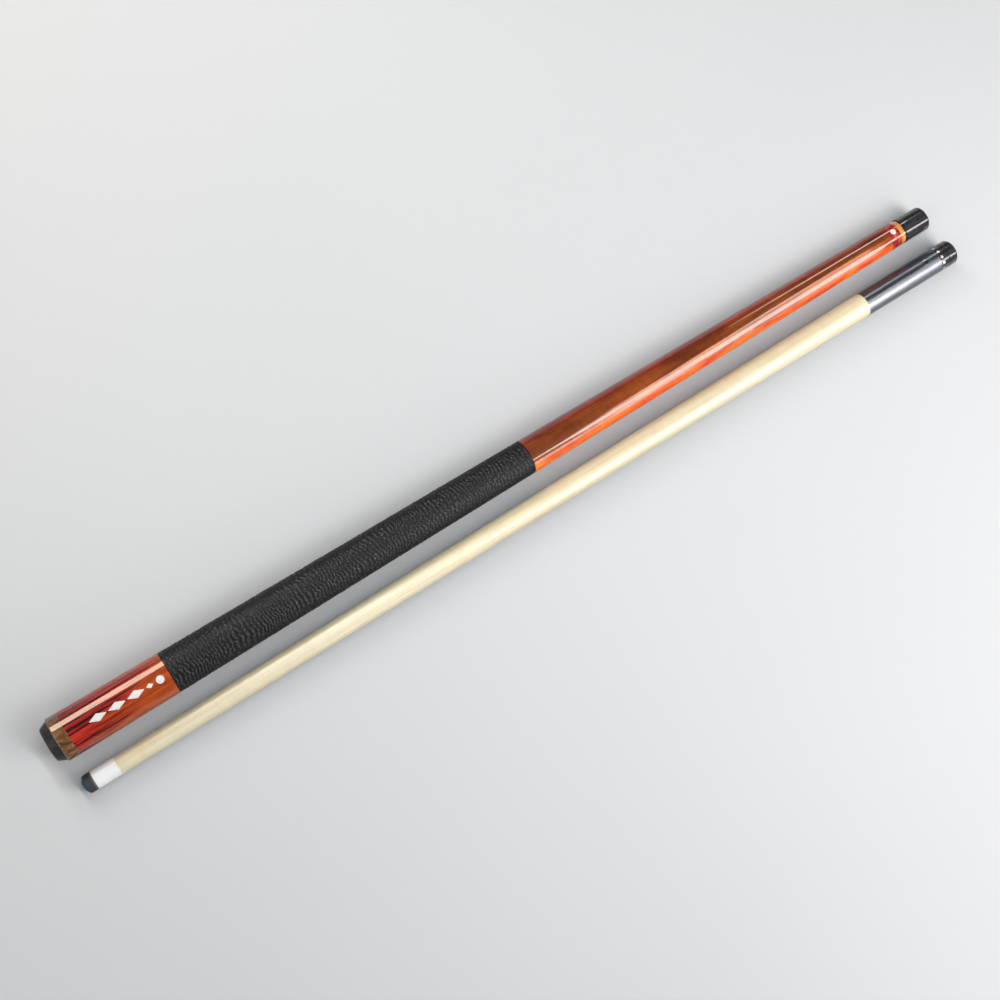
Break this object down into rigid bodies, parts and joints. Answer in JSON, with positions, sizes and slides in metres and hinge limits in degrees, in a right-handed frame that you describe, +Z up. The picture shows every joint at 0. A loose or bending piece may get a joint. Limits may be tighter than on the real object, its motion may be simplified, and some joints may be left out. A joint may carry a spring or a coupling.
{
  "type": "pool cue",
  "caption": "Two-piece pool cue taken apart: lacquered wood butt with a black leather wrap and rubber bumper beside a maple shaft, with screw-on joint protectors.",
  "frame": {"origin": "centre of the two halves' footprint, on the table that they lie on", "axes": "+X along the cue, from the rubber bumper and the leather tip towards the two joint ends; +Z up from the table; the shaft lies on the -Y side of the butt"},
  "size_m": [0.7536, 0.0586, 0.0311],
  "materials": {
    "bumper_rubber": "satin moulded rubber",
    "cap_resin": "polished, slightly see-through brown resin",
    "sleeve_wood": "red-orange wood with dark streaks under gloss lacquer",
    "silver_inlay": "polished",
    "brass": "machined",
    "steel": "machined, zinc plated",
    "nylon": "natural nylon",
    "core_wood": "plain turned maple",
    "wrap_leather": "black, embossed pebble grain, semi-gloss",
    "forearm_wood": "orange-red wood under gloss lacquer",
    "collar_resin": "polished dark red resin",
    "pearl": "polished pearl",
    "amber_resin": "polished amber resin",
    "protector_black": "polished black resin",
    "tip_leather": "burnished side, chalked and scuffed crown",
    "fibre": "vulcanised fibre",
    "ferrule_white": "polished",
    "maple": "pale straight-grained maple, satin sealed",
    "sleeve_metal": "polished metal",
    "black_inlay": "polished black resin"
  },
  "bodies": {
    "butt": {"butt_cap": "cap_resin", "butt_sleeve": "sleeve_wood", "sleeve_inlays": "silver_inlay", "weight_bolt_liner": "brass", "handle_core": "core_wood", "leather_wrap": "wrap_leather", "a_joint_stud": "steel", "forearm": "forearm_wood", "joint_collar": "collar_resin", "collar_dot": "pearl", "joint_ring": "amber_resin", "joint_pin": "steel"},
    "bumper": {"rubber_bumper": "bumper_rubber"},
    "weight_lock_ring": {"weight_bolt_lock_ring": "nylon"},
    "weight_bolt": {"weight_bolt": "steel"},
    "butt_protector_insert": {"butt_protector_insert": "brass"},
    "butt_protector": {"butt_protector_shell": "protector_black"},
    "shaft": {"leather_tip": "tip_leather", "tip_pad": "fibre", "ferrule": "ferrule_white", "maple_shaft": "maple", "shaft_sleeve": "sleeve_metal", "sleeve_dot": "black_inlay", "dash_ring": "black_inlay", "ring_dashes": "silver_inlay", "shaft_insert": "brass"},
    "shaft_protector_pin": {"shaft_protector_pin": "steel"},
    "shaft_protector": {"shaft_protector_shell": "protector_black"}
  },
  "joints": [
    {"name": "bumper_pull", "type": "slide", "parent": "butt", "child": "bumper", "axis": [-1, 0, 0.0073], "range_m": [0, 0.017]},
    {"name": "weight_bolt_travel", "type": "slide", "parent": "butt", "child": "weight_lock_ring", "axis": [-1, 0, 0.0073], "range_m": [0, 0.01758]},
    {"name": "weight_bolt_turn", "type": "hinge", "parent": "weight_lock_ring", "child": "weight_bolt", "pos_m": [-0.33275, 0.01383, 0.01533], "axis": [-1, 0, 0.0073], "range_deg": [0, 3240]},
    {"name": "butt_protector_travel", "type": "slide", "parent": "butt", "child": "butt_protector_insert", "axis": [1, 0, -0.0073], "range_m": [0, 0.01693]},
    {"name": "butt_protector_turn", "type": "hinge", "parent": "butt_protector_insert", "child": "butt_protector", "pos_m": [0.34423, 0.01383, 0.01041], "axis": [1, 0, -0.0073], "range_deg": [0, 4320]},
    {"name": "shaft_swing", "type": "hinge", "parent": "butt", "child": "shaft", "pos_m": [0.39519, -0.00285, 0], "axis": [0, 0, 1], "range_deg": [0, 179.91]},
    {"name": "shaft_protector_travel", "type": "slide", "parent": "shaft", "child": "shaft_protector_pin", "axis": [1, 0.0015, 0.0046], "range_m": [0, 0.01552]},
    {"name": "shaft_protector_turn", "type": "hinge", "parent": "shaft_protector_pin", "child": "shaft_protector", "pos_m": [0.36409, -0.01958, 0.00985], "axis": [1, 0.0015, 0.0046], "range_deg": [0, 3960]}
  ],
  "couplings": [
    {"joint": "weight_bolt_turn", "follows": "weight_bolt_travel", "rad_per_m": 3215.8},
    {"joint": "butt_protector_turn", "follows": "butt_protector_travel", "rad_per_m": 4452.7},
    {"joint": "shaft_protector_turn", "follows": "shaft_protector_travel", "rad_per_m": 4452.7}
  ]
}
